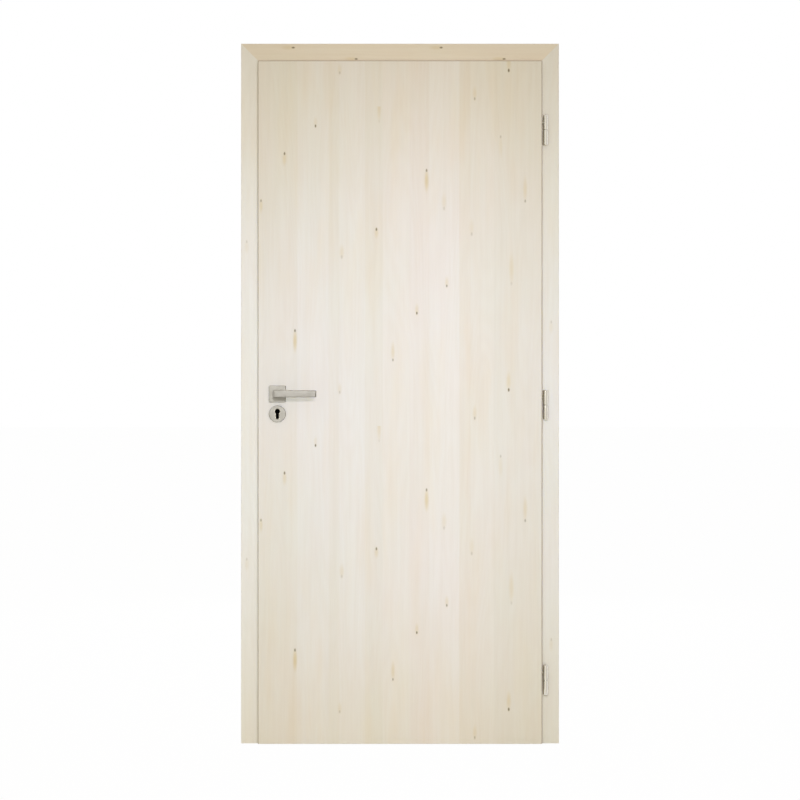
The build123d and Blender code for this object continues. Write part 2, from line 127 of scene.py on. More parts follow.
def make_piece(
    name: str, shells: list[Shell], *finishes: Finish, sharp: float = 32.0
) -> bpy.types.Object:
    """Put shells into one mesh object at the origin and dress it.

    Args:
        name: plain name of the piece.
        shells: closed surfaces in the shared frame.
        finishes: what the piece is made of; a shell's layer says which one it takes.
        sharp: angle in degrees from which an edge stays crisp.

    Returns:
        The new object, linked to the scene.
    """
    vertices = np.concatenate([shell.points.reshape(-1, 3) for shell in shells])
    faces: list[list[int]] = []
    layers: list[int] = []
    start = 0
    for shell in shells:
        faces += shell.faces(start)
        layers += shell.layers()
        start += shell.points.shape[0] * shell.points.shape[1]
    mesh = bpy.data.meshes.new(name)
    mesh.from_pydata(vertices.tolist(), [], faces)
    for finish in finishes:
        mesh.materials.append(finish.material())
    mesh.polygons.foreach_set("material_index", layers)
    work = bmesh.new()
    work.from_mesh(mesh)
    bmesh.ops.remove_doubles(work, verts=work.verts, dist=1e-7)
    bmesh.ops.dissolve_degenerate(work, edges=work.edges, dist=1e-7)
    bmesh.ops.recalc_face_normals(work, faces=work.faces)
    work.to_mesh(mesh)
    work.free()
    mesh.shade_smooth()
    mesh.set_sharp_from_angle(angle=math.radians(sharp))
    piece = bpy.data.objects.new(name, mesh)
    bpy.context.scene.collection.objects.link(piece)
    return piece


def arc(start: float, end: float, count: int) -> np.ndarray:
    """Angles in radians, evenly spaced from one angle in degrees to another, both kept."""
    return np.radians(np.linspace(start, end, count))


def lathe(profile: np.ndarray, columns: int) -> np.ndarray:
    """Turn a profile about the third axis.

    Each point is (r cos a, r sin a, h) for the profile's radius r and height h and the angle a.

    Args:
        profile: rows of radius and height.
        columns: points round the axis.

    Returns:
        A grid of points, rows by columns by three.
    """
    angle = np.linspace(0, FULL_TURN, columns, endpoint=False)
    radius = profile[:, :1]
    height = np.broadcast_to(profile[:, 1:], (len(profile), columns))
    return np.stack([radius * np.cos(angle), radius * np.sin(angle), height], -1)


def rounded_profile(rows: list[tuple[float, float, float]], steps: int = 7) -> np.ndarray:
    """Round the corners of a profile.

    At each corner an arc is laid between the two tangent points, as the quadratic blend
    (1 - t)^2 a + 2 t (1 - t) corner + t^2 b of the tangent points a and b.

    Args:
        rows: corners as radius, height and rounding; a rounding of 0 keeps the corner.
        steps: points on each rounding.

    Returns:
        Rows of radius and height.
    """
    corners = np.array([row[:2] for row in rows])
    found = [corners[:1]]
    blend = np.linspace(0, 1, steps)[:, None]
    for index in range(1, len(rows) - 1):
        corner, rounding = corners[index], rows[index][2]
        back = corners[index - 1] - corner
        ahead = corners[index + 1] - corner
        a = corner + back / np.linalg.norm(back) * rounding
        b = corner + ahead / np.linalg.norm(ahead) * rounding
        curve = (1 - blend) ** 2 * a + 2 * blend * (1 - blend) * corner + blend**2 * b
        found.append(curve if rounding else corner[None])
    found.append(corners[-1:])
    return np.concatenate(found)


def rounded_box_outline(
    half_width: np.ndarray, half_height: np.ndarray, radius: np.ndarray, steps: int = 8
) -> np.ndarray:
    """Outline of a rectangle with round corners, for every row at once.

    In each corner the point is (w - r + r cos a, h - r + r sin a), with the signs of that corner.

    Args:
        half_width: half the width of each row.
        half_height: half the height of each row.
        radius: corner radius of each row.
        steps: points on each corner.

    Returns:
        An array of rows by points by two.
    """
    angle = np.concatenate([arc(90 * quarter, 90 * quarter + 90, steps) for quarter in range(4)])
    side = np.repeat([1, -1, -1, 1], steps)
    rise = np.repeat([1, 1, -1, -1], steps)
    w, h, r = (np.atleast_1d(value)[:, None] for value in (half_width, half_height, radius))
    across = side * (w - r) + r * np.cos(angle)
    up = rise * (h - r) + r * np.sin(angle)
    return np.stack([across, up], -1)


def thread(radius: float, depth: float, pitch: float, length: float) -> np.ndarray:
    """Screw thread with a plain tip and a plain start, along the third axis.

    The radius is R - d (1 - ridge) for a ridge that rises and falls once as the turn number
    angle / 2 pi + height / pitch goes up by one; the ridge fades out near both ends.

    Args:
        radius: radius over the ridges.
        depth: depth of the thread.
        pitch: height of one turn.
        length: length of the rod.

    Returns:
        A grid of points, rows along the rod.
    """
    rows_a_turn, columns = 8, 36
    plain_start, fade_in = 6 * MM, 2 * MM
    tip, tip_share = 3 * MM, 0.55
    height = np.linspace(0, length, int(length / pitch * rows_a_turn))[:, None]
    angle = np.linspace(0, FULL_TURN, columns, endpoint=False)[None]
    turn = (angle / FULL_TURN + height / pitch) % 1
    ridge = np.clip(1.6 - np.abs(2 * turn - 1) * 2.6, 0, 1)
    threaded = np.clip((height - plain_start) / fade_in, 0, 1)
    taper = np.clip((length - height) / tip, tip_share, 1)
    r = (radius - depth * threaded * (1 - ridge)) * taper
    up = np.broadcast_to(height, r.shape)
    return np.stack([r * np.cos(angle), r * np.sin(angle), up], -1)


# Finishes: each one writes its own material once


def opaque(value: object) -> object:
    """Give a tint its full alpha, and leave any other value as it is."""
    return (*value, 1.0) if isinstance(value, tuple) and len(value) == 3 else value


class Graph:
    """A material's nodes, with short calls for the nodes that the finishes share."""

    def __init__(self, name: str) -> None:
        """Start an empty material with its main shader and its output."""
        self.material = bpy.data.materials.new(name)
        self.material.use_nodes = True
        self.tree = self.material.node_tree
        self.tree.nodes.clear()
        self.shader = self.node("BsdfPrincipled")
        self.output = self.node("OutputMaterial", self.shader.outputs["BSDF"])

    def put(self, value: object, socket: bpy.types.NodeSocket) -> None:
        """Link a socket to another, or set its number, vector or colour.

        Args:
            value: a socket to link from, or a plain value.
            socket: the socket that takes it.
        """
        if isinstance(value, bpy.types.NodeSocket):
            self.tree.links.new(value, socket)
        else:
            socket.default_value = value

    def node(self, kind: str, *values: object, **settings: object) -> bpy.types.Node:
        """Add a node.

        Args:
            kind: the node's type without its first word.
            values: what its inputs take, in their order.
            settings: its other properties.

        Returns:
            The node.
        """
        made = self.tree.nodes.new("ShaderNode" + kind)
        for key, value in settings.items():
            setattr(made, key, value)
        for value, socket in zip(values, made.inputs):
            self.put(value, socket)
        return made

    def place(self) -> bpy.types.NodeSocket:
        """Return the place in the shared frame, as Object coordinates."""
        return self.node("TexCoord").outputs["Object"]

    def split(self, vector: object) -> tuple[bpy.types.NodeSocket, ...]:
        """Part a vector into its three numbers."""
        return tuple(self.node("SeparateXYZ", vector).outputs)

    def math(self, operation: str, *values: object) -> bpy.types.NodeSocket:
        """Work on numbers."""
        return self.node("Math", *values, operation=operation).outputs[0]

    def vector(self, x: object, y: object, z: object = 0.0) -> bpy.types.NodeSocket:
        """Join three numbers into a vector."""
        return self.node("CombineXYZ", x, y, z).outputs[0]

    def stretch(self, vector: object, scale: Tint, move: Tint = (0.0, 0.0, 0.0)) -> object:
        """Return the vector times a scale plus a move, axis by axis."""
        return self.node("VectorMath", vector, scale, move, operation="MULTIPLY_ADD").outputs[0]

    def noise(
        self,
        vector: object,
        scale: Tint,
        detail: float = 3.0,
        rough: float = 0.55,
        move: Tint = (0.0, 0.0, 0.0),
    ) -> object:
        """Make soft noise.

        Args:
            vector: places in metres.
            scale: cells to the metre on each axis.
            detail: how many finer layers it has.
            rough: how strong the finer layers are.
            move: cells by which it is moved on each axis.

        Returns:
            A number about 0.5 at each place.
        """
        made = self.node("TexNoise")
        spot = self.stretch(vector, scale, move)
        for key, value in zip(("Vector", "Scale", "Detail", "Roughness"), (spot, 1.0, detail, rough)):
            self.put(value, made.inputs[key])
        return made.outputs["Fac"]

    def ease(self, value: object, low: float, high: float, to: Pair) -> object:
        """Carry a value smoothly from one range into another, held at both ends."""
        made = self.node("MapRange", value, low, high, *to, interpolation_type="SMOOTHSTEP")
        return made.outputs[0]

    def mix(self, factor: object, a: object, b: object, blend: str = "MIX") -> object:
        """Mix two colours.

        Args:
            factor: how much of the second colour there is.
            a: the first colour.
            b: the second colour.
            blend: how they are mixed.

        Returns:
            The mixed colour.
        """
        made = self.node("Mix", factor, data_type="RGBA", blend_type=blend)
        self.put(opaque(a), made.inputs[6])
        self.put(opaque(b), made.inputs[7])
        return made.outputs[2]

    def tinge(self, colour: object, value: object, span: Pair, share: Pair, tint: Tint) -> object:
        """Multiply a colour by a tint, by a share that eases over as a value crosses a span."""
        return self.mix(self.ease(value, *span, share), colour, tint, "MULTIPLY")

    def ramp(self, value: object, stops: list[tuple[float, Tint]]) -> object:
        """Read a colour off a row of stops, straight between them.

        Args:
            value: where to read, from 0 to 1.
            stops: places and their tints.

        Returns:
            The colour.
        """
        made = self.node("ValToRGB", value)
        while len(made.color_ramp.elements) < len(stops):
            made.color_ramp.elements.new(0.5)
        for element, (position, tint) in zip(made.color_ramp.elements, stops):
            element.position = position
            element.color = opaque(tint)
        return made.outputs[0]

    def relief(self, height: object, depth: float, strength: float) -> None:
        """Give the surface a relief.

        Args:
            height: how high each place is, from 0 to 1.
            depth: height of the relief in metres.
            strength: how much of it the shader takes.
        """
        made = self.node("Bump")
        for key, value in zip(("Strength", "Distance", "Height"), (strength, depth, height)):
            self.put(value, made.inputs[key])
        self.put(made.outputs[0], self.shader.inputs["Normal"])

    def shade(self, **values: object) -> None:
        """Set or link the main shader's sockets, named with underscores for spaces."""
        for key, value in values.items():
            self.put(opaque(value), self.shader.inputs[key.replace("_", " ")])


@dataclass(frozen=True)
class Finish:
    """A surface finish; the kinds below say how it looks."""

    name: str

    @cache
    def material(self) -> bpy.types.Material:
        """Return the finish's material, made at its first use."""
        return self.build()

    def build(self) -> bpy.types.Material:
        """Write the material's nodes."""
        raise NotImplementedError


class Grain(Enum):
    """Which way the boards of the decor run."""

    UPRIGHT = "upright"
    LEVEL = "level"


class Tone(Enum):
    """The decor's board tones, as they look in plain light."""

    CREAM = (0.892, 0.842, 0.802)
    GREYISH = (0.884, 0.842, 0.798)
    YELLOWISH = (0.884, 0.832, 0.778)
    TAN = (0.866, 0.818, 0.756)
    ROSY = (0.880, 0.818, 0.770)
    ORANGE = (0.862, 0.800, 0.730)
    SAND = (0.862, 0.812, 0.752)
    DEEP_TAN = (0.846, 0.799, 0.738)
    JAMB = (0.882, 0.857, 0.818)
    JAMB_LEFT = (0.926, 0.898, 0.856)
    HEAD = (0.893, 0.808, 0.695)


@dataclass(frozen=True)
class Knot:
    """A knot: its place across and along the boards, and how strong eye and streak are.

    The streak is stained wood that runs from the eye along the grain, back if it is negative.
    """

    across: float
    along: float
    eye: float = 0.8
    halo: float = 0.5
    size: float = 1.0
    streak: float = -0.03


@dataclass(frozen=True)
class SpruceDecor(Finish):
    """Whitened spruce: glued boards, contour-like figure, fibres, and knots that repeat.

    Boards are (width, tone) from one side to the other, and knots lie on the decor's repeat.
    Sizes of marks are half widths and half lengths.
    """

    grain: Grain = Grain.UPRIGHT
    across_start: float = 0.0
    boards: tuple[tuple[float, Tone], ...] = ()
    joint_half: float = 0.7 * MM
    joint_waver: float = 5.0 * MM
    knots: tuple[Knot, ...] = ()
    repeat: float = 0.949
    eye_size: Pair = (3.8 * MM, 7.0 * MM)
    stain_half: float = 9.0 * MM
    stain_margin: float = 14.0 * MM
    bend_size: Pair = (16.0 * MM, 45.0 * MM)
    bend_depth: float = 7.0 * MM
    knot_tint: Tint = (0.20, 0.155, 0.085)
    halo_tint: Tint = (0.74, 0.60, 0.36)
    seed: float = 0.0
    # Painted shadow: a thin dark line along the face's sides and top stands in for the shadow in the
    # gap round the leaf.
    gap_shadow_half: float = 0.0
    gap_shadow_top: float = 0.0
    gap_shadow_width: float = 1.3 * MM
    gap_shadow_soft: float = 0.3 * MM
    gap_shadow_depth: Pair = (0.9 * MM, 1.5 * MM)
    gap_shadow_tint: Tint = (0.34, 0.27, 0.19)

    def board_stops(self) -> list[tuple[float, Tint]]:
        """Lay out the board tones for a ramp.

        Returns:
            Two stops a board, so that tones change over about a millimetre.
        """
        whole = sum(width for width, _ in self.boards)
        stops = []
        start = 0.0
        for width, tone in self.boards:
            stops.append(((start + self.joint_half) / whole, tone.value))
            stops.append(((start + width - self.joint_half) / whole, tone.value))
            start += width
        return stops

    def knot_marks(self, g: Graph, spot: object) -> tuple[object, object, object]:
        """Add up the marks of all knots.

        Args:
            g: the material's nodes.
            spot: place across and along the boards, within one repeat.

        Returns:
            How much of an eye, of a halo, and of sideways push there is at each place.
        """
        eye: object = 0.0
        halo: object = 0.0
        push: object = 0.0
        for knot in self.knots:
            middle = (knot.across, knot.along)
            eye_size = (self.eye_size[0] * knot.size, self.eye_size[1] * knot.size)
            _, near_eye = self.ellipse(g, spot, middle, eye_size)
            eye = g.math("ADD", eye, g.ease(near_eye, 0.2, 1.0, (knot.eye, 0.0)))
            stain = (knot.across, knot.along + knot.streak / 2)
            stain_size = (self.stain_half * knot.size, abs(knot.streak) / 2 + self.stain_margin)
            _, near_stain = self.ellipse(g, spot, stain, stain_size)
            halo = g.math("ADD", halo, g.ease(near_stain, 0.1, 1.0, (knot.halo, 0.0)))
            aside, near_bend = self.ellipse(g, spot, middle, self.bend_size)
            soft = g.ease(near_bend, 0.2, 1.6, (knot.eye, 0.0))
            push = g.math("ADD", push, g.math("MULTIPLY", aside, soft))
        return eye, halo, push

    @staticmethod
    def ellipse(g: Graph, spot: object, middle: Pair, size: Pair) -> tuple[object, object]:
        """Measure places against an ellipse.

        Args:
            g: the material's nodes.
            spot: place across and along the boards.
            middle: the ellipse's middle.
            size: its half width and half length.

        Returns:
            How far aside of the middle a place is, and how far out, with 1 on the ellipse.
        """
        wide, tall = 1 / size[0], 1 / size[1]
        near = g.stretch(spot, (wide, tall, 0), (-middle[0] * wide, -middle[1] * tall, 0))
        away = g.node("VectorMath", near, operation="LENGTH")
        return g.split(near)[0], away.outputs["Value"]

    def paint_gap_shadow(self, g: Graph, x: object, y: object, z: object) -> object:
        """Paint a dark line where the decor ends at the face's two sides and its top: a painted shadow
        of the gap round the leaf.

        Args:
            g: the material's nodes.
            x: place across the doorway.
            y: place along the wall's depth.
            z: height.

        Returns:
            1 on the painted shadow line, else 0.
        """
        aside = g.math("ABSOLUTE", g.math("SUBTRACT", x, DOORWAY_MIDDLE))
        past_side = g.math("SUBTRACT", aside, self.gap_shadow_half)
        past_top = g.math("SUBTRACT", z, self.gap_shadow_top)
        nearest = g.math("MAXIMUM", past_side, past_top)
        width, soft = self.gap_shadow_width, self.gap_shadow_soft
        near = g.ease(nearest, -width - soft, -width + soft, (0.0, 1.0))
        kept, gone = self.gap_shadow_depth
        shallow = g.ease(y, LEAF_FACE + kept, LEAF_FACE + gone, (1.0, 0.0))
        return g.math("MULTIPLY", near, shallow)

    def build(self) -> bpy.types.Material:
        """Write the decor's nodes."""
        g = Graph(self.name)
        x, y, z = g.split(g.place())
        across, along = (x, z) if self.grain is Grain.UPRIGHT else (z, x)
        across = g.math("ADD", across, y)
        local = g.math("SUBTRACT", across, self.across_start)
        round_trip = g.math("FLOORED_MODULO", along, self.repeat)
        eye, halo, push = self.knot_marks(g, g.vector(local, round_trip))

        whole = sum(width for width, _ in self.boards)
        waver = g.noise(g.vector(across, along), (3.0, 1.6, 0), move=(self.seed, 0, 0))
        start = g.math("SUBTRACT", local, self.joint_waver / 2)
        edge = g.math("MULTIPLY_ADD", waver, self.joint_waver, start)
        tone = g.ramp(g.math("DIVIDE", edge, whole), self.board_stops())

        bent = g.math("MULTIPLY_ADD", push, -self.bend_depth, across)
        flow = g.vector(bent, along, self.seed)
        hills = g.noise(flow, (11.0, 1.1, 1.0), 1.5, 0.4)
        rings = g.math("SINE", g.math("MULTIPLY", hills, 95.0))
        rings = g.math("MULTIPLY_ADD", rings, 0.5, 0.5)
        streaks = g.noise(flow, (95.0, 2.2, 1.0), 3.0, 0.6)
        fibres = g.noise(flow, (900.0, 18.0, 1.0), 2.0, 0.6)
        clouds = g.noise(flow, (14.0, 4.0, 1.0), 2.0, 0.5, (7.0, 3.0, 0))
        blush = g.noise(flow, (17.0, 2.4, 1.0), 2.0, 0.5, (3.0, 11.0, 0))

        colour = g.tinge(tone, streaks, (0.35, 0.7), (0.0, 0.20), (0.90, 0.875, 0.84))
        colour = g.mix(g.math("MULTIPLY", rings, 0.08), colour, (0.90, 0.84, 0.76), "MULTIPLY")
        colour = g.tinge(colour, fibres, (0.3, 0.75), (0.0, 0.25), (0.93, 0.91, 0.88))
        colour = g.tinge(colour, clouds, (0.35, 0.65), (0.0, 0.45), (1.0, 0.965, 0.955))
        colour = g.tinge(colour, waver, (0.35, 0.65), (0.45, 0.0), (0.97, 0.985, 0.93))
        colour = g.tinge(colour, blush, (0.45, 0.75), (0.0, 0.50), (1.0, 0.955, 0.885))
        colour = g.mix(halo, colour, self.halo_tint)
        colour = g.mix(eye, colour, self.knot_tint)
        # Painted shadow of the gap round the leaf, as a thin dark line at the face's sides and top.
        if self.gap_shadow_half:
            colour = g.mix(self.paint_gap_shadow(g, x, y, z), colour, self.gap_shadow_tint)

        pores = g.math("MULTIPLY_ADD", rings, 0.35, fibres)
        rough = g.ease(streaks, 0.3, 0.7, (0.48, 0.60))
        g.relief(g.math("SUBTRACT", pores, eye), 0.06 * MM, 0.6)
        g.shade(Base_Color=colour, Roughness=rough, Specular_IOR_Level=0.32)
        return g.material


@dataclass(frozen=True)
class BrushedMetal(Finish):
    """Plated metal with fine brushing along one axis and faint handling marks."""

    tint: Tint = (0.455, 0.428, 0.365)
    roughness: float = 0.50
    spread: float = 0.07
    brushing: Tint = (60.0, 2500.0, 2500.0)
    depth: float = 0.01 * MM

    def build(self) -> bpy.types.Material:
        """Write the metal's nodes."""
        g = Graph(self.name)
        spot = g.place()
        lines = g.noise(spot, self.brushing, 2.0, 0.6)
        haze = g.noise(spot, (45.0, 45.0, 45.0), 4.0, 0.6)
        colour = g.tinge(self.tint, lines, (0.3, 0.7), (0.0, 0.5), (0.86, 0.86, 0.87))
        colour = g.tinge(colour, haze, (0.4, 0.7), (0.0, 0.35), (0.90, 0.89, 0.87))
        marks = g.math("ADD", g.math("MULTIPLY", haze, 0.6), lines)
        limits = (self.roughness - self.spread, self.roughness + self.spread)
        g.relief(lines, self.depth, 0.5)
        g.shade(Base_Color=colour, Metallic=1.0, Roughness=g.ease(marks, 0.5, 1.1, limits))
        return g.material


@dataclass(frozen=True)
class SoftRubber(Finish):
    """Matt rubber with extrusion lines along its length and a little dust."""

    tint: Tint = (0.50, 0.47, 0.41)

    def build(self) -> bpy.types.Material:
        """Write the rubber's nodes."""
        g = Graph(self.name)
        spot = g.place()
        lines = g.noise(spot, (1800.0, 1800.0, 12.0), 2.0, 0.6)
        dust = g.noise(spot, (160.0, 160.0, 160.0), 4.0, 0.7)
        colour = g.tinge(self.tint, lines, (0.3, 0.7), (0.0, 0.5), (0.8, 0.8, 0.8))
        colour = g.mix(g.ease(dust, 0.55, 0.75, (0.0, 0.3)), colour, (0.62, 0.60, 0.56))
        rough = g.ease(dust, 0.3, 0.7, (0.6, 0.8))
        g.relief(lines, 0.03 * MM, 0.6)
        g.shade(Base_Color=colour, Roughness=rough, Specular_IOR_Level=0.35)
        return g.material


@dataclass(frozen=True)
class Chipboard(Finish):
    """Raw filling of the leaf: pressed chips of several browns."""

    def build(self) -> bpy.types.Material:
        """Write the board's nodes."""
        g = Graph(self.name)
        spot = g.place()
        chips = g.node("TexVoronoi", feature="F1")
        chips.inputs["Scale"].default_value = 1.0
        g.put(g.stretch(spot, (260.0, 500.0, 110.0)), chips.inputs["Vector"])
        chance = g.node("SeparateColor", chips.outputs["Color"]).outputs[0]
        stops = [(0.0, (0.34, 0.24, 0.14)), (0.5, (0.52, 0.40, 0.25)), (1.0, (0.68, 0.56, 0.38))]
        dust = g.noise(spot, (900.0, 900.0, 900.0), 2.0, 0.6)
        colour = g.tinge(g.ramp(chance, stops), dust, (0.3, 0.7), (0.0, 0.5), (0.8, 0.78, 0.75))
        g.relief(g.math("ADD", chips.outputs["Distance"], dust), 0.3 * MM, 0.6)
        g.shade(Base_Color=colour, Roughness=0.85, Specular_IOR_Level=0.2)
        return g.material


@dataclass(frozen=True)
class PaintedSteel(Finish):
    """Dark painted sheet steel with a fine orange peel and worn paint."""

    tint: Tint = (0.055, 0.056, 0.06)
    wear: float = 0.6
    shine: float = 0.5

    def build(self) -> bpy.types.Material:
        """Write the paint's nodes."""
        g = Graph(self.name)
        spot = g.place()
        peel = g.noise(spot, (1100.0, 1100.0, 1100.0), 2.0, 0.5)
        rub = g.noise(spot, (60.0, 60.0, 60.0), 5.0, 0.65)
        colour = g.mix(g.ease(rub, 0.55, 0.75, (0.0, self.wear)), self.tint, (0.16, 0.155, 0.15))
        rough = g.ease(rub, 0.3, 0.7, (0.38, 0.55))
        g.relief(peel, 0.04 * MM, 0.6)
        g.shade(Base_Color=colour, Roughness=rough, Specular_IOR_Level=self.shine)
        return g.material


LEAF_BOARDS = (
    (0.116, Tone.TAN),
    (0.095, Tone.GREYISH),
    (0.030, Tone.TAN),
    (0.078, Tone.GREYISH),
    (0.051, Tone.TAN),
    (0.080, Tone.YELLOWISH),
    (0.060, Tone.ROSY),
    (0.089, Tone.CREAM),
    (0.033, Tone.ORANGE),
    (0.069, Tone.SAND),
    (0.143, Tone.DEEP_TAN),
)
LEAF_KNOTS = (
    Knot(0.745, 0.107, 1.0, 0.45, 1.1, 0.05),
    Knot(0.644, 0.023, 0.45, 0.35, 1.0, 0.03),
    Knot(0.171, 0.891, 1.0, 0.25, 0.9, 0.02),
    Knot(0.079, 0.809, 0.9, 0.45, 1.0, -0.03),
    Knot(0.501, 0.759, 0.75, 0.75, 1.0, -0.06),
    Knot(0.009, 0.669, 0.6, 0.45, 0.9, -0.03),
    Knot(0.794, 0.668, 0.5, 0.40, 1.0, 0.07),
    Knot(0.352, 0.584, 0.9, 0.45, 1.0, -0.02),
    Knot(0.561, 0.416, 0.7, 0.35, 0.9, 0.02),
    Knot(0.472, 0.335, 1.0, 0.40, 0.9, 0.02),
    Knot(0.110, 0.283, 0.85, 0.80, 1.0, -0.06),
    Knot(0.401, 0.196, 0.6, 0.45, 0.9, 0.05),
    Knot(0.249, 0.502, 0.20, 0.30, 1.2, 0.03),
    Knot(0.553, 0.646, 0.20, 0.25, 1.2, 0.04),
    Knot(0.635, 0.570, 0.25, 0.20, 1.2, 0.04),
    Knot(0.753, 0.423, 0.15, 0.35, 1.2, 0.09),
    Knot(0.721, 0.859, 0.30, 0.20, 1.0, -0.06),
    Knot(0.360, 0.905, 0.10, 0.45, 1.0, 0.10),
    Knot(0.243, 0.100, 0.25, 0.25, 1.0, 0.02),
)


@dataclass(frozen=True)
class Finishes:
    """Every finish of the door set."""

    leaf: SpruceDecor = SpruceDecor(
        "leaf_spruce_decor",
        across_start=DOORWAY_MIDDLE - LEAF_HALF + LEAF_FACE,
        boards=LEAF_BOARDS,
        knots=LEAF_KNOTS,
        # The leaf's face carries the painted shadow line along its sides and top.
        gap_shadow_half=LEAF_HALF,
        gap_shadow_top=LEAF_TOP,
    )
    uprights: SpruceDecor = SpruceDecor(
        "upright_spruce_decor",
        across_start=DOORWAY_MIDDLE - 0.6,
        boards=((0.170, Tone.JAMB_LEFT), (1.030, Tone.JAMB)),
        knots=(Knot(0.130, 0.55, 0.2, 0.2), Knot(1.040, 0.31, 0.2, 0.2)),
        seed=4.0,
    )
    head: SpruceDecor = SpruceDecor(
        "head_spruce_decor",
        grain=Grain.LEVEL,
        across_start=1.9,
        boards=((0.200, Tone.HEAD),),
        knots=(Knot(0.167, 0.122, 0.9, 0.4), Knot(0.133, 0.310, 0.9, 0.4)),
        repeat=0.442,
        seed=9.0,
    )
    nickel: BrushedMetal = BrushedMetal("brushed_nickel")
    # Painted shade: a darker copy of the nickel for the levers, so that they read no brighter than the
    # roses under the sheen lamp.
    lever: BrushedMetal = BrushedMetal("lever_nickel_painted_shade", (0.412, 0.386, 0.332))
    bright: BrushedMetal = BrushedMetal(
        "bright_nickel", (0.80, 0.77, 0.70), 0.14, 0.04, (2500.0, 2500.0, 60.0), 0.003 * MM
    )
    # Painted shade: the anchors are tinted darker than bright zinc, so that they sit dim in the gap
    # beside the barrel.
    anchor: BrushedMetal = BrushedMetal(
        "anchor_steel_painted_shade", (0.50, 0.47, 0.40), 0.42, 0.06, (400.0, 400.0, 400.0)
    )
    zinc: BrushedMetal = BrushedMetal(
        "bright_zinc", (0.66, 0.66, 0.65), 0.28, 0.08, (2500.0, 2500.0, 40.0)
    )
    # Partly painted highlight: besides a smoother polish, the keyhole's rim is tinted far brighter than
    # the cover's nickel.
    rim: BrushedMetal = BrushedMetal(
        "polished_rim_painted_highlight", (0.86, 0.82, 0.72), 0.24, 0.05, (400.0, 400.0, 400.0)
    )
    rubber: SoftRubber = SoftRubber("seal_rubber_beige")
    chips: Chipboard = Chipboard("pressed_chips")
    painted: PaintedSteel = PaintedSteel("dark_painted_steel")
    # Near-black without shine: painted shade for the inside of the keyhole.
    hole_shade: PaintedSteel = PaintedSteel("keyhole_black_shade", (0.002, 0.002, 0.002), 0.0, 0.0)


def dress(names: list[str], finish: Finish) -> None:
    """Give CAD nodes a finish in place of their plain material.

    Args:
        names: the nodes.
        finish: what they are made of.
    """
    for name in names:
        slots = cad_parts[name].material_slots
        for slot in slots:
            slot.material = finish.material()
        if not slots:
            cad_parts[name].data.materials.append(finish.material())


# Sub-assemblies


@dataclass
class CasingFrame:
    """Casings, linings and stops, which stay on the wall."""

    finishes: Finishes

    def build(self) -> int:
        """Dress the boards: upright grain at the sides, level grain at the head."""
        sides = [
            f"{board}_{side}_side"
            for board in ("front_casing", "rear_casing", "lining", "stop")
            for side in ("hinge", "lock")
        ]
        heads = ["front_casing_head", "rear_casing_head", "lining_head", "stop_head"]
        dress(sides, self.finishes.uprights)
        dress(heads, self.finishes.head)
        return len(sides + heads)


@dataclass
class DoorLeaf:
    """Skins, lippings and filling of the swinging leaf."""

    finishes: Finishes

    def build(self) -> int:
        """Dress the boards that show in decor and the filling in raw chips."""
        shown = ["leaf_front_skin", "leaf_rear_skin", "leaf_hinge_stile", "leaf_lock_stile"]
        shown += ["leaf_hinge_lipping", "leaf_lock_lipping", "leaf_top_lipping"]
        shown += ["leaf_top_rail", "leaf_bottom_rail"]
        filling = ["leaf_core", "leaf_lock_block"]
        dress(shown, self.finishes.leaf)
        dress(filling, self.finishes.chips)
        return len(shown + filling)


@dataclass
class Seals:
    """Rubber strips in the slots of the stops: a round bulb, a foot and a barbed stem."""

    finishes: Finishes
    half_width: float = 3.5 * MM
    bulb: float = 5.0 * MM
    bulb_points: int = 29
    stem: float = 1.3 * MM
    stem_depth: float = 4.6 * MM
    stem_points: int = 13
    barb: float = 0.15 * MM

    def section(self) -> np.ndarray:
        """Outline of the strip: x across, h towards the leaf.

        The bulb is half a rounded oval, x = w cos a and h = b sin(a)^0.8; the stem is a strip
        whose half width steps out by a barb at every third point.

        Returns:
            Points round the outline.
        """
        angle = arc(0, 180, self.bulb_points)
        bulb = np.stack([self.half_width * np.cos(angle), self.bulb * np.sin(angle) ** 0.8], -1)
        depth = np.linspace(0, self.stem_depth, self.stem_points)
        width = self.stem + self.barb * (np.arange(self.stem_points) % 3 == 0)
        left = np.stack([-width, -depth], -1)
        right = np.stack([width, -depth], -1)[::-1]
        return np.concatenate([bulb, left, right])

    def build(self) -> int:
        """Carry the outline up both sides, and across the head under the top of its box."""
        outline = self.section()
        names = ("seal_hinge_side", "seal_lock_side", "seal_head")
        for name in names:
            low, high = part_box(name)
            level = name.endswith("head")
            middle = high.z - self.half_width if level else (low.x + high.x) / 2
            ends = np.array([low.x, high.x] if level else [low.z, high.z])
            run, across = np.meshgrid(ends, middle + outline[:, 0], indexing="ij")
            depth = np.broadcast_to(low.y + self.bulb - outline[:, 1], run.shape)
            order = (run, depth, across) if level else (across, depth, run)
            piece = make_piece(name + "_strip", [Shell(np.stack(order, -1))], self.finishes.rubber)
            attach(piece, "frame")
            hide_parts(name)
        return len(names)


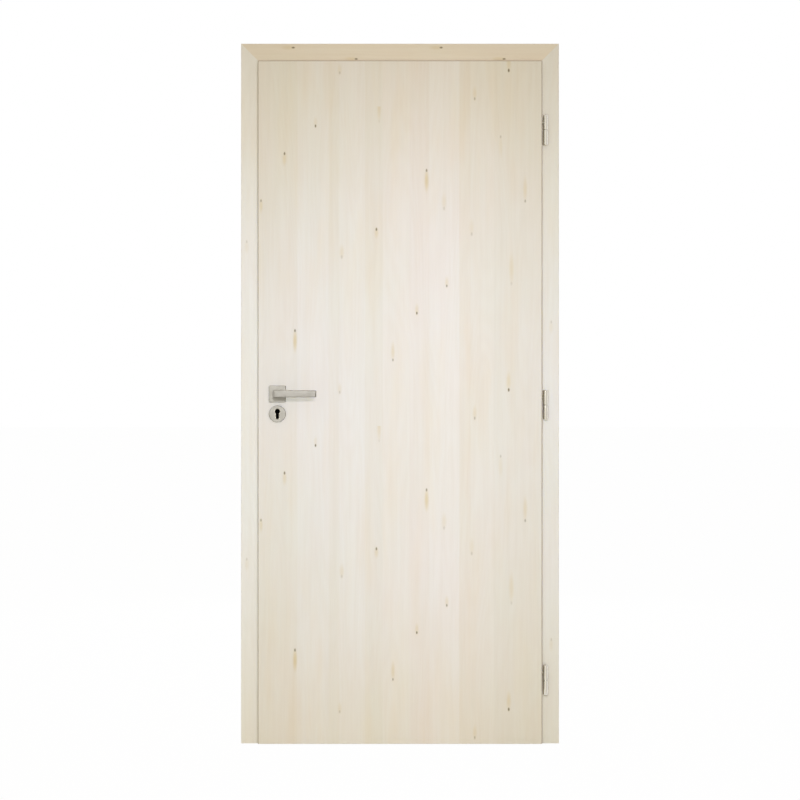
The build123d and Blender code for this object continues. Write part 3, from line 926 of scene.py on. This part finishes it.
@dataclass
class BarrelHinge:
    """One drill-in hinge: two turned knuckles on a pin, each with a threaded anchor."""

    finishes: Finishes
    number: int
    radius: float = 7.5 * MM
    end_round: float = 3.2 * MM
    joint_round: float = 2.2 * MM
    joint_gap: float = 0.3 * MM
    pin_radius: float = 3.95 * MM
    pin_round: float = 1.0 * MM
    bore_play: float = 0.05 * MM
    bore_depth: float = 35.0 * MM
    bore_round: float = 0.3 * MM
    anchor_radius: float = 3.95 * MM
    anchor_sunk: float = 2.0 * MM
    thread_depth: float = 0.8 * MM
    pitch: float = 2.4 * MM
    columns: int = 96

    def leaf_half(self) -> bpy.types.Object:
        """Upper knuckle with its bore, and an anchor into the edge of the lip.

        Returns:
            The half that rides on the leaf.
        """
        low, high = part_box(f"hinge_{self.number}_leaf_half")
        x, y, r = high.x - self.radius, low.y + self.radius, self.radius
        bore, ceiling = self.pin_radius + self.bore_play, low.z + self.bore_depth
        corners = [
            (0, ceiling, 0),
            (bore, ceiling, 0),
            (bore, low.z, self.bore_round),
            (r, low.z, self.joint_round),
            (r, high.z, self.end_round),
            (0, high.z, 0),
        ]
        rod = self.rod(x - r - low.x)
        start = (x - r + self.anchor_sunk, y, (low.z + high.z) / 2)
        anchor = np.stack([-rod[..., 2], rod[..., 0], rod[..., 1]], -1) + start
        return self.finish("leaf", corners, (x, y, 0), anchor)

    def frame_half(self) -> bpy.types.Object:
        """Lower knuckle with its pin, and an anchor straight back into casing and lining.

        Returns:
            The half that stays on the frame.
        """
        low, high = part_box(f"hinge_{self.number}_frame_half")
        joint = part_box(f"hinge_{self.number}_leaf_half")[0].z - self.joint_gap
        x, y, r = high.x - self.radius, low.y + self.radius, self.radius
        corners = [
            (0, low.z, 0),
            (r, low.z, self.end_round),
            (r, joint, self.joint_round),
            (self.pin_radius, joint, 0),
            (self.pin_radius, high.z, self.pin_round),
            (0, high.z, 0),
        ]
        rod = self.rod(high.y - y - r)
        start = (x, y + r - self.anchor_sunk, (low.z + joint) / 2)
        anchor = np.stack([rod[..., 0], rod[..., 2], rod[..., 1]], -1) + start
        return self.finish("frame", corners, (x, y, 0), anchor)

    def rod(self, reach: float) -> np.ndarray:
        """Threaded rod that starts inside the knuckle and reaches so far out of it."""
        return thread(self.anchor_radius, self.thread_depth, self.pitch, reach + self.anchor_sunk)

    def finish(
        self, body: str, corners: list[Tint], axis: Tint, anchor: np.ndarray
    ) -> bpy.types.Object:
        """Make a half's object, ride it on its body and put it in its node's place.

        Args:
            body: body that the half rides on.
            corners: profile of the knuckle as radius, height and rounding.
            axis: foot of the pin's axis.
            anchor: the anchor's points.

        Returns:
            The half.
        """
        name = f"hinge_{self.number}_{body}_half"
        barrel = lathe(rounded_profile(corners), self.columns) + axis
        shells = [Shell(barrel), Shell(anchor, layer=1)]
        piece = make_piece(name + "_turned", shells, self.finishes.bright, self.finishes.anchor)
        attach(piece, body)
        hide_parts(name)
        return piece

    def build(self) -> int:
        """Build both halves."""
        return len([self.leaf_half(), self.frame_half()])


class Face(Enum):
    """The two faces of the leaf, with the way that points out of each."""

    FRONT = -1
    REAR = 1

    @property
    def word(self) -> str:
        """Name used in the nodes' names."""
        return self.name.lower()


@dataclass
class HandleSet:
    """Lever on a square rose, on one face of the leaf."""

    finishes: Finishes
    face: Face
    rose_corner: float = 3.0 * MM
    rose_round: float = 1.5 * MM
    hole_play: float = 0.05 * MM
    least_round: float = 0.4 * MM
    collar_radius: float = 9.5 * MM
    collar_round: float = 0.2 * MM
    collar_sunk: float = 3.0 * MM
    collar_columns: int = 72
    neck_gap: float = 0.6 * MM
    neck_width: float = 19.0 * MM
    length: float = 128.5 * MM
    height: float = 20.0 * MM
    thickness: float = 10.0 * MM
    standoff: float = 60.0 * MM
    outer_bend: float = 9.0 * MM
    inner_bend: float = 7.0 * MM
    edge_round: float = 2.2 * MM
    tip_round: float = 3.0 * MM
    middle: np.ndarray = field(init=False)
    seat: float = field(init=False)
    rose_half: float = field(init=False)
    rose_thickness: float = field(init=False)

    def __post_init__(self) -> None:
        """Take the rose's place and size from its node."""
        low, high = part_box(self.face.word + "_rose")
        self.middle = np.array([(low.x + high.x) / 2, (low.z + high.z) / 2])
        self.seat = high.y if self.face is Face.FRONT else low.y
        self.rose_half = (high.x - low.x) / 2
        self.rose_thickness = high.y - low.y

    def stand(self, across: np.ndarray, up: np.ndarray, out: np.ndarray) -> np.ndarray:
        """Place points into the shared frame.

        Args:
            across: distance from the rose's middle towards +X.
            up: height over the rose's middle.
            out: distance out from the leaf's face.

        Returns:
            The points.
        """
        x = self.middle[0] + across
        y = self.seat + self.face.value * out
        z = self.middle[1] + up
        return np.stack(np.broadcast_arrays(x, y, z), -1)

    def rose(self) -> bpy.types.Object:
        """Square cover with round corners, soft edges and a round hole.

        Rows go round the plate's section: up the outer side, over a quarter-round edge, across
        the flat face while the outline turns from rounded square to circle, down the hole and
        back underneath. Each point is (1 - k) square + k circle for the row's blend k.

        Returns:
            The rose.
        """
        top, r, edge = self.rose_thickness, self.rose_round, arc(0, 90, 7)
        rim = np.stack([0 * edge, r * (1 - np.cos(edge)), top - r + r * np.sin(edge)], -1)
        inward = [
            (0.12, r, top),
            (0.6, r, top),
            (0.97, r, top),
            (1, 0, top - self.least_round),
            (1, 0, 0),
            (0.5, 0, 0),
        ]
        blend, inset, out = np.concatenate([[(0, 0, 0)], rim, inward]).T
        half = self.rose_half - inset
        corner = np.maximum(self.rose_corner - inset, self.least_round)
        square = rounded_box_outline(half, half, corner, steps=12)
        angle = np.arctan2(square[0, :, 1], square[0, :, 0])
        hole = self.collar_radius + self.hole_play
        circle = hole * np.stack([np.cos(angle), np.sin(angle)], -1)
        blend = blend[:, None, None]
        mixed = (1 - blend) * square + blend * circle
        points = self.stand(mixed[..., 0], mixed[..., 1], out[:, None])
        shell = Shell(points, ring=True)
        piece = make_piece(self.face.word + "_rose_cover", [shell], self.finishes.nickel)
        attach(piece, "leaf")
        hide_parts(self.face.word + "_rose")
        return piece

    def edges_of_lever(self) -> tuple[np.ndarray, np.ndarray, np.ndarray]:
        """Outer and inner line of the lever, seen from above.

        Both run out from the rose, turn a quarter circle towards the leaf's middle and run on to
        the tip. At the tip the rows advance by R sin a while the section draws in by
        R (1 - cos a), which rounds the end.

        Returns:
            Outer line and inner line as across and out, and the inset of every row.
        """
        neck_rows, bar_rows, tip_rows = 6, 19, 8
        left = -self.neck_width / 2
        start = self.rose_thickness + self.neck_gap
        tip = left + self.length - self.tip_round
        turn, end = arc(180, 90, 15), arc(0, 90, tip_rows)

        def line(side: float, bend: float, far: float) -> np.ndarray:
            """One edge: neck, bend, bar and tip."""
            neck = np.linspace(start, far - bend, neck_rows + 1)[:-1]
            bar = np.linspace(side + bend, tip, bar_rows + 2)[1:-1]
            last = tip + self.tip_round * np.sin(end)
            across = [np.full(neck_rows, side), side + bend + bend * np.cos(turn), bar, last]
            out = [neck, far - bend + bend * np.sin(turn), np.full(bar_rows + tip_rows, far)]
            return np.stack([np.concatenate(across), np.concatenate(out)], -1)

        outer = line(left, self.outer_bend, self.standoff)
        inner = line(left + self.neck_width, self.inner_bend, self.standoff - self.thickness)
        inset = np.zeros(len(outer))
        inset[-tip_rows:] = self.tip_round * (1 - np.cos(end))
        return outer, inner, inset

    def lever(self) -> bpy.types.Object:
        """Flat lever: a rounded rectangle carried along the bend, and the collar behind it.

        Each row's section lies between the outer and the inner line: its points are
        middle + e d + f up, where d points from the inner to the outer line and (e, f) is on the
        rounded rectangle of that row.

        Returns:
            The lever.
        """
        outer, inner, inset = self.edges_of_lever()
        span = outer - inner
        reach = np.linalg.norm(span, axis=1)
        direction = span / reach[:, None]
        radius = np.maximum(self.edge_round - inset, 0.3 * MM)
        section = rounded_box_outline(reach / 2 - inset, self.height / 2 - inset, radius)
        middle = (outer + inner) / 2
        plan = middle[:, None] + section[..., :1] * direction[:, None]
        body = self.stand(plan[..., 0], section[..., 1], plan[..., 1])
        end = self.rose_thickness + self.neck_gap + self.collar_sunk
        r, soft = self.collar_radius, self.collar_round
        profile = rounded_profile([(0, 0, 0), (r, 0, soft), (r, end, soft), (0, end, 0)])
        collar = lathe(profile, self.collar_columns)
        ring = self.stand(collar[..., 0], collar[..., 1], collar[..., 2])
        shells = [Shell(body), Shell(ring)]
        piece = make_piece(self.face.word + "_lever_handle", shells, self.finishes.lever)
        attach(piece, "lever")
        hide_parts(self.face.word + "_lever")
        return piece

    def build(self) -> int:
        """Build the rose and the lever."""
        return len([self.rose(), self.lever()])


@dataclass
class KeyholeCover:
    """Round cover with the keyhole of a profile lock, on one face of the leaf.

    Everything is measured from the keyhole's waist, where its round part and its stem meet.
    """

    finishes: Finishes
    face: Face
    round_radius: float = 7.6 * MM
    stem_half: float = 4.8 * MM
    hole_height: float = 30.0 * MM
    rim: float = 2.2 * MM
    edge: float = 1.5 * MM
    # Black cup of painted shade inside the keyhole: its depth, its wall's margins and its floor.
    shade_cup_depth: float = 12.2 * MM
    shade_cup_outside: float = 0.25 * MM
    shade_cup_inside: float = -0.35 * MM
    shade_cup_floor: float = 0.6 * MM
    columns: int = 240
    waist_drop: float = field(init=False)
    waist_rise: float = field(init=False)
    waist: Pair = field(init=False)
    seat: float = field(init=False)
    radius: float = field(init=False)
    thickness: float = field(init=False)
    angle: np.ndarray = field(init=False)

    def __post_init__(self) -> None:
        """Take the cover's place and size from its node, and the waist from the keyhole."""
        low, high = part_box(self.face.word + "_escutcheon")
        self.radius, self.thickness = (high.x - low.x) / 2, high.y - low.y
        self.seat = high.y if self.face is Face.FRONT else low.y
        self.waist_drop = math.sqrt(self.round_radius**2 - self.stem_half**2)
        self.waist_rise = self.hole_height / 2 - self.round_radius - self.waist_drop
        self.waist = ((low.x + high.x) / 2, (low.z + high.z) / 2 + self.waist_rise)
        self.angle = np.linspace(0, FULL_TURN, self.columns, endpoint=False)

    def leave(self, middle: float, radius: float) -> np.ndarray:
        """Way from the waist out of a circle above or below it, in each direction.

        A ray leaves a circle of radius R about (0, c) at c sin a + sqrt(R^2 - c^2 cos^2 a).

        Args:
            middle: height of the circle's middle over the waist.
            radius: radius of the circle.

        Returns:
            One distance for each direction.
        """
        inside = radius**2 - (middle * np.cos(self.angle)) ** 2
        return middle * np.sin(self.angle) + np.sqrt(np.maximum(inside, 0))

    def hole_reach(self, grow: float) -> np.ndarray:
        """Distance from the keyhole's waist to its edge in each direction.

        It is the largest of three: the ray's way out of the round part, out of the stem, and out
        of the round foot, each grown by the same margin.

        Args:
            grow: margin round the hole.

        Returns:
            One distance for each direction.
        """
        stem = self.stem_half + grow
        foot_middle = self.round_radius - self.hole_height + self.stem_half + self.waist_drop
        down = np.sin(self.angle) < 0
        side = stem / np.maximum(np.abs(np.cos(self.angle)), 1e-6)
        low_enough = side * np.sin(self.angle) < foot_middle
        foot = np.where(down & low_enough, self.leave(foot_middle, stem), 0)
        in_stem = np.where(down & ~low_enough, side, 0)
        round_part = self.leave(self.waist_drop, self.round_radius + grow)
        return np.maximum.reduce([round_part, in_stem, foot])

    def stand(self, reach: np.ndarray, out: list[float]) -> np.ndarray:
        """Place rows of points round the waist, at waist + reach (cos a, sin a).

        Args:
            reach: distance from the waist, for each row and direction.
            out: distance of each row out from the leaf's face.

        Returns:
            The points.
        """
        x = self.waist[0] + reach * np.cos(self.angle)
        z = self.waist[1] + reach * np.sin(self.angle)
        y = self.seat + self.face.value * np.broadcast_to(np.array(out)[:, None], x.shape)
        return np.stack([x, y, z], -1)

    def cover(self) -> bpy.types.Object:
        """Round plate: rows go up its edge, over its face, down the keyhole's rim and back.

        Returns:
            The cover.
        """
        offset, thick = -self.waist_rise, self.thickness
        outer = self.leave(offset, self.radius)
        edge_turn, rim_turn = arc(0, 90, 7)[:, None], arc(90, 0, 7)
        edge = outer - self.edge * (1 - np.cos(edge_turn))
        wide, plain = self.hole_reach(self.rim), self.hole_reach(0.0)
        face = [(1 - share) * edge[-1] + share * wide for share in (0.3, 0.7)]
        rim = [self.hole_reach(self.rim * math.sin(turn)) for turn in rim_turn]
        rows = np.array([outer, *edge, *face, *rim, plain, plain])
        edge_out = (thick - self.edge + self.edge * np.sin(edge_turn[:, 0])).tolist()
        rim_out = (thick - self.rim * (1 - np.sin(rim_turn))).tolist()
        out = [0.0, *edge_out, thick, thick, *rim_out, thick - self.rim, 0.0]
        # The rim rows take the brighter rim finish, a painted highlight.
        rim_rows = range(len(rows) - 2 - len(rim), len(rows) - 2)
        shell = Shell(self.stand(rows, out), ring=True, second=rim_rows)
        name = self.face.word + "_keyhole_cover"
        piece = make_piece(name, [shell], self.finishes.nickel, self.finishes.rim)
        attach(piece, "leaf")
        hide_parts(self.face.word + "_escutcheon")
        return piece

    def shade_cup(self) -> bpy.types.Object:
        """Black cup from the cover down to the lock's case: painted shade that fills the keyhole with
        black.

        Its wall follows the keyhole's outline at two margins, and a floor closes it.

        Returns:
            The liner.
        """
        outside, inside = self.hole_reach(self.shade_cup_outside), self.hole_reach(self.shade_cup_inside)
        reach = np.array([outside, outside, inside, inside, inside * 0.02])
        floor = self.shade_cup_floor - self.shade_cup_depth
        shell = Shell(self.stand(reach, [-self.shade_cup_depth, 0, 0, floor, floor]))
        piece = make_piece(self.face.word + "_keyhole_shade_cup", [shell], self.finishes.hole_shade)
        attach(piece, "leaf")
        return piece

    def build(self) -> int:
        """Build the cover and the black cup of painted shade in its keyhole."""
        return len([self.cover(), self.shade_cup()])


@dataclass
class LockEdge:
    """Forend, bolts, case, spindle and strike plate, with the screws that hold them."""

    finishes: Finishes
    head_radius: float = 3.4 * MM
    proud: float = 0.35 * MM
    cross_half: float = 0.7 * MM
    cross_wall: float = 0.25 * MM
    cross_reach: float = 1.9 * MM
    cross_end: float = 0.5 * MM
    cross_depth: float = 1.3 * MM
    skirt: float = 1.5 * MM
    end_inset: float = 12.0 * MM
    rows: int = 26
    columns: int = 96

    def screw_head(self, name: str, spot: np.ndarray, way: int, body: str) -> None:
        """Countersunk head with a cross recess, on a face square to X.

        Height is p (1 - (r / R)^4) over the head's radius, less a recess that is deepest in the
        middle: d times how far the point lies inside an arm of the cross and short of its end.

        Args:
            name: name of the screw.
            spot: middle of the head on the plate's face.
            way: 1 if the plate faces +X, else -1.
            body: body that the plate belongs to.
        """
        radius = np.linspace(0.02, 1, self.rows)[:, None] * self.head_radius
        angle = np.linspace(0, FULL_TURN, self.columns, endpoint=False)[None]
        u, v = radius * np.cos(angle), radius * np.sin(angle)
        dome = self.proud * (1 - (radius / self.head_radius) ** 4)
        arm = np.minimum(np.abs(u), np.abs(v))
        wall = np.clip((self.cross_half - arm) / self.cross_wall, 0, 1)
        deep = np.clip((self.cross_reach - radius) / self.cross_end, 0, 1)
        height = dome - self.cross_depth * wall * deep
        foot = np.stack([u[-1:] / 2, v[-1:] / 2, np.full_like(u[-1:], -self.skirt)], -1)
        rows = np.concatenate([np.stack([u, v, height], -1), foot])
        points = np.stack([way * rows[..., 2], rows[..., 0], rows[..., 1]], -1) + spot
        piece = make_piece(name, [Shell(points)], self.finishes.zinc, sharp=40.0)
        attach(piece, body)

    def build(self) -> int:
        """Dress the lock's nodes and add two screws to each plate."""
        plain = ["lock_forend", "latch_bolt", "dead_bolt", "strike_plate", "lever_spindle"]
        dress(plain, self.finishes.zinc)
        dress(["lock_case"], self.finishes.painted)
        bolt_low, bolt_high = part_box("latch_bolt")
        screws = 0
        for node, body, way in (("lock_forend", "leaf", -1), ("strike_plate", "frame", 1)):
            low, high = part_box(node)
            x = low.x if way < 0 else high.x
            y = (bolt_low.y + bolt_high.y) / 2
            for number, z in enumerate((low.z + self.end_inset, high.z - self.end_inset), 1):
                self.screw_head(f"{node}_screw_{number}", np.array([x, y, z]), way, body)
                screws += 1
        return len(plain) + 1 + screws


@dataclass(frozen=True)
class Spot:
    """A lamp in front of the door. A sheen lamp shows only in metal, the others never do."""

    name: str
    power: float
    tint: Tint
    place: Tint
    cone: float = 91.0
    radius: float = 0.04
    sheen: bool = False


@dataclass(frozen=True)
class Card:
    """An upright card over a line on the floor, which only reflections show."""

    name: str
    start: Pair
    end: Pair
    tint: Tint
    level: float


KEY_PLACE = (DOORWAY_MIDDLE - 0.10, -2.2, 1.02)
HIGH_PLACE = (DOORWAY_MIDDLE + 0.24, -2.4, 1.52)
SHEEN_PLACE = (DOORWAY_MIDDLE - 0.16, -2.4, 1.52)
SPOTS = (
    Spot("key_core", 36.2, (0.152, 0.343, 1.0), KEY_PLACE, cone=56.0),
    Spot("key_front", 46.6, (0.901, 1.0, 0.715), KEY_PLACE),
    Spot("key_high", 52.7, (0.924, 0.873, 1.0), HIGH_PLACE),
    Spot("key_sheen", 49.5, (0.88, 0.91, 1.0), SHEEN_PLACE, radius=0.05, sheen=True),
)
CARDS = (
    Card("dark_card", (-0.58, -0.10), (-0.56, -0.42), (1.0, 0.95, 0.78), 0.03),
    Card("bright_card", (-0.52, -0.42), (-0.045, -0.42), (1.0, 0.97, 0.88), 1.16),
    Card("grey_card", (-0.038, -0.42), (0.303, -0.42), (1.0, 0.93, 0.80), 0.60),
)


@dataclass
class Studio:
    """Floor, white surroundings, lamps and camera."""

    eye: Tint = (DOORWAY_MIDDLE, -3.445, 1.026)
    focal: float = 51.70
    sensor: float = 36.0
    ambient: Tint = (1.0, 0.915, 0.745)
    ambient_level: float = 0.52
    floor_half: float = 40.0
    floor_tint: Tint = (0.86, 0.86, 0.85)
    floor_glow: float = 0.985
    spot_aim: Tint = (DOORWAY_MIDDLE, 0.0, 0.97)
    panel_size: Pair = (3.0, 1.2)
    panel_power: float = 42.0
    panel_place: Tint = (DOORWAY_MIDDLE, 2.6, 1.2)
    panel_aim: Tint = (DOORWAY_MIDDLE, 0.0, 1.1)
    card_height: float = 2.1

    def surroundings(self) -> None:
        """White for the eye and for reflections, a softer warm level for everything else."""
        world = bpy.data.worlds.new("surroundings")
        bpy.context.scene.world = world
        world.use_nodes = True
        tree = world.node_tree
        tree.nodes.clear()
        output = tree.nodes.new("ShaderNodeOutputWorld")
        mixer = tree.nodes.new("ShaderNodeMixShader")
        for number, (tint, level) in enumerate(((self.ambient, self.ambient_level), ((1, 1, 1), 1)), 1):
            light = tree.nodes.new("ShaderNodeBackground")
            light.inputs["Color"].default_value = opaque(tint)
            light.inputs["Strength"].default_value = level
            tree.links.new(light.outputs[0], mixer.inputs[number])
        tree.links.new(self.seen_directly(tree), mixer.inputs[0])
        tree.links.new(mixer.outputs[0], output.inputs[0])

    @staticmethod
    def seen_directly(tree: bpy.types.NodeTree) -> bpy.types.NodeSocket:
        """Tell rays of the eye, of mirrors and of glass from all others.

        Args:
            tree: the nodes that ask.

        Returns:
            1 for those rays, else 0.
        """
        path = tree.nodes.new("ShaderNodeLightPath")
        total = path.outputs["Is Camera Ray"]
        for name in ("Is Glossy Ray", "Is Transmission Ray"):
            add = tree.nodes.new("ShaderNodeMath")
            add.operation = "MAXIMUM"
            tree.links.new(total, add.inputs[0])
            tree.links.new(path.outputs[name], add.inputs[1])
            total = add.outputs[0]
        return total

    @staticmethod
    def sheet(name: str, corners: list[Tint], graph: Graph) -> bpy.types.Object:
        """Make a flat sheet of the studio.

        Args:
            name: name of the sheet.
            corners: its four corners in order.
            graph: what it is made of.

        Returns:
            The sheet.
        """
        mesh = bpy.data.meshes.new(name)
        mesh.from_pydata(corners, [], [(0, 1, 2, 3)])
        mesh.materials.append(graph.material)
        made = bpy.data.objects.new(name, mesh)
        bpy.context.scene.collection.objects.link(made)
        return made

    def floor(self) -> None:
        """Pale floor that keeps a faint shadow under white."""
        graph = Graph("studio_floor")
        graph.shade(Base_Color=self.floor_tint, Roughness=0.9, Specular_IOR_Level=0.1)
        share = graph.math("MULTIPLY", self.seen_directly(graph.tree), self.floor_glow)
        glow = graph.node("Emission").outputs[0]
        mixed = graph.node("MixShader", share, graph.shader.outputs[0], glow)
        graph.put(mixed.outputs[0], graph.output.inputs["Surface"])
        half = self.floor_half
        corners = [(-half, -half, 0), (half, -half, 0), (half, half, 0), (-half, half, 0)]
        plane = self.sheet("studio_floor", corners, graph)

    @staticmethod
    def hang(data: bpy.types.Light, place: Tint, aim: Tint) -> bpy.types.Object:
        """Hang a lamp at a place and turn it towards a point.

        Args:
            data: the lamp's light.
            place: where it hangs.
            aim: the point that it shines at.

        Returns:
            The lamp.
        """
        lamp = bpy.data.objects.new(data.name, data)
        bpy.context.scene.collection.objects.link(lamp)
        lamp.location = place
        way = np.subtract(aim, place)
        tilt = math.atan2(math.hypot(way[0], way[1]), -way[2])
        lamp.rotation_euler = (tilt, 0, math.atan2(way[1], way[0]) - math.pi / 2)
        return lamp

    def lamps(self) -> None:
        """Front: a cool narrow spot within two wide ones, and one more for the metal's sheen.

        Behind stands a wide soft panel that metal doesn't mirror.
        """
        for spot in SPOTS:
            light = bpy.data.lights.new(spot.name, "SPOT")
            light.energy = spot.power
            light.color = spot.tint
            light.spot_size = math.radians(spot.cone)
            light.spot_blend = 1.0
            light.shadow_soft_size = spot.radius
            lamp = self.hang(light, spot.place, self.spot_aim)
            lamp.visible_glossy = spot.sheen
            lamp.visible_diffuse = not spot.sheen
        panel = bpy.data.lights.new("panel_rear", "AREA")
        panel.shape = "RECTANGLE"
        panel.size, panel.size_y = self.panel_size
        panel.energy = self.panel_power
        self.hang(panel, self.panel_place, self.panel_aim).visible_glossy = False

    def cards(self) -> None:
        """Stand a dark, a bright and a grey card where only the hinge barrels mirror them."""
        top = self.card_height
        for card in CARDS:
            graph = Graph(card.name)
            graph.shade(
                Base_Color=(0.0, 0.0, 0.0),
                Roughness=1.0,
                Emission_Color=card.tint,
                Emission_Strength=card.level,
            )
            corners = [(*card.start, 0.0), (*card.end, 0.0), (*card.end, top), (*card.start, top)]
            stand = self.sheet(card.name, corners, graph)
            for flag in ("camera", "diffuse", "transmission", "volume_scatter", "shadow"):
                setattr(stand, "visible_" + flag, False)

    def camera(self) -> None:
        """Stand the camera level in front of the doorway's middle."""
        data = bpy.data.cameras.new("photo_camera")
        data.lens = self.focal
        data.sensor_width = self.sensor
        camera = bpy.data.objects.new("photo_camera", data)
        bpy.context.scene.collection.objects.link(camera)
        camera.location = self.eye
        camera.rotation_euler = (math.radians(90), 0, 0)
        bpy.context.scene.camera = camera

    def build(self) -> int:
        """Set up floor, light and camera."""
        bpy.context.scene.view_settings.view_transform = "Standard"
        steps = (self.surroundings, self.floor, self.lamps, self.cards, self.camera)
        for step in steps:
            step()
        return len(steps)


def main() -> None:
    """Build the sub-assemblies in order and report each one."""
    logging.basicConfig(level=logging.INFO, format="%(name)s: %(message)s")
    finishes = Finishes()
    parts = [
        ("casing frame", CasingFrame(finishes)),
        ("door leaf", DoorLeaf(finishes)),
        ("seals", Seals(finishes)),
        *((f"hinge {number}", BarrelHinge(finishes, number)) for number in (1, 2, 3)),
        *((f"{face.word} handle", HandleSet(finishes, face)) for face in Face),
        *((f"{face.word} keyhole cover", KeyholeCover(finishes, face)) for face in Face),
        ("lock edge", LockEdge(finishes)),
        ("studio", Studio()),
    ]
    for name, part in parts:
        LOG.info("%s: %d pieces", name, part.build())


if __name__ == "__main__":
    main()
